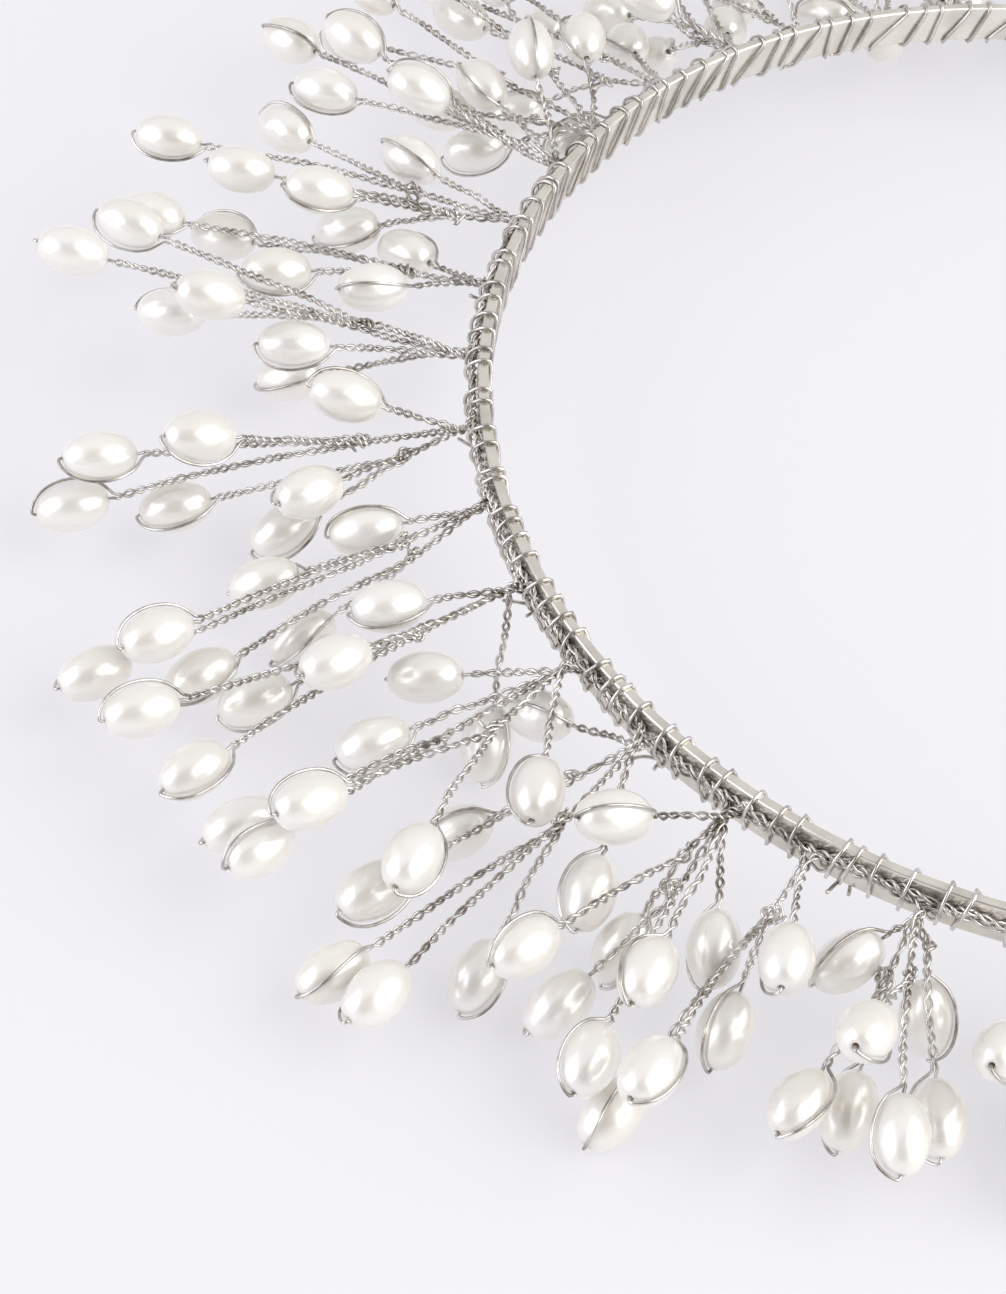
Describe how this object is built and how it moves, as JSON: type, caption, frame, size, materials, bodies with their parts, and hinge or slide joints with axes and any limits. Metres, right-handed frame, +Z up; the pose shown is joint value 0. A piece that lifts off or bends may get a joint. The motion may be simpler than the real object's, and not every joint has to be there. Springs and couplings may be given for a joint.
{
  "type": "pearl crown headband",
  "caption": "Open C-shaped metal headband with radiating twisted-wire sprays, each stem ending in a drilled oval pearl.",
  "frame": {"origin": "on the surface it lies on, under the middle of the bounding box", "axes": "+Z up from the surface, square to the plane of the band; +Y across the head from one temple to the other; the top of the head is at -X and the legs open towards +X"},
  "size_m": [0.1658, 0.1724, 0.0209],
  "materials": {
    "band_steel": "satin",
    "wire": "bright",
    "pearl": "pearlescent"
  },
  "bodies": {
    "root": {"band": "band_steel", "garland_upper": "wire", "garland_lower": "wire", "binding_wire": "wire", "spray_01_stems": "wire", "spray_02_stems": "wire", "spray_03_stems": "wire", "spray_04_stems": "wire", "spray_05_stems": "wire", "spray_06_stems": "wire", "spray_07_stems": "wire", "spray_08_stems": "wire", "spray_09_stems": "wire", "spray_10_stems": "wire", "spray_11_stems": "wire", "spray_12_stems": "wire", "spray_13_stems": "wire", "spray_14_stems": "wire", "spray_15_stems": "wire", "spray_16_stems": "wire", "spray_17_stems": "wire", "spray_18_stems": "wire", "spray_19_stems": "wire", "spray_20_stems": "wire", "spray_21_stems": "wire", "spray_22_stems": "wire", "spray_23_stems": "wire", "spray_01_pearls": "pearl", "spray_02_pearls": "pearl", "spray_03_pearls": "pearl", "spray_04_pearls": "pearl", "spray_05_pearls": "pearl", "spray_06_pearls": "pearl", "spray_07_pearls": "pearl", "spray_08_pearls": "pearl", "spray_09_pearls": "pearl", "spray_10_pearls": "pearl", "spray_11_pearls": "pearl", "spray_12_pearls": "pearl", "spray_13_pearls": "pearl", "spray_14_pearls": "pearl", "spray_15_pearls": "pearl", "spray_16_pearls": "pearl", "spray_17_pearls": "pearl", "spray_18_pearls": "pearl", "spray_19_pearls": "pearl", "spray_20_pearls": "pearl", "spray_21_pearls": "pearl", "spray_22_pearls": "pearl", "spray_23_pearls": "pearl"}
  },
  "joints": []
}
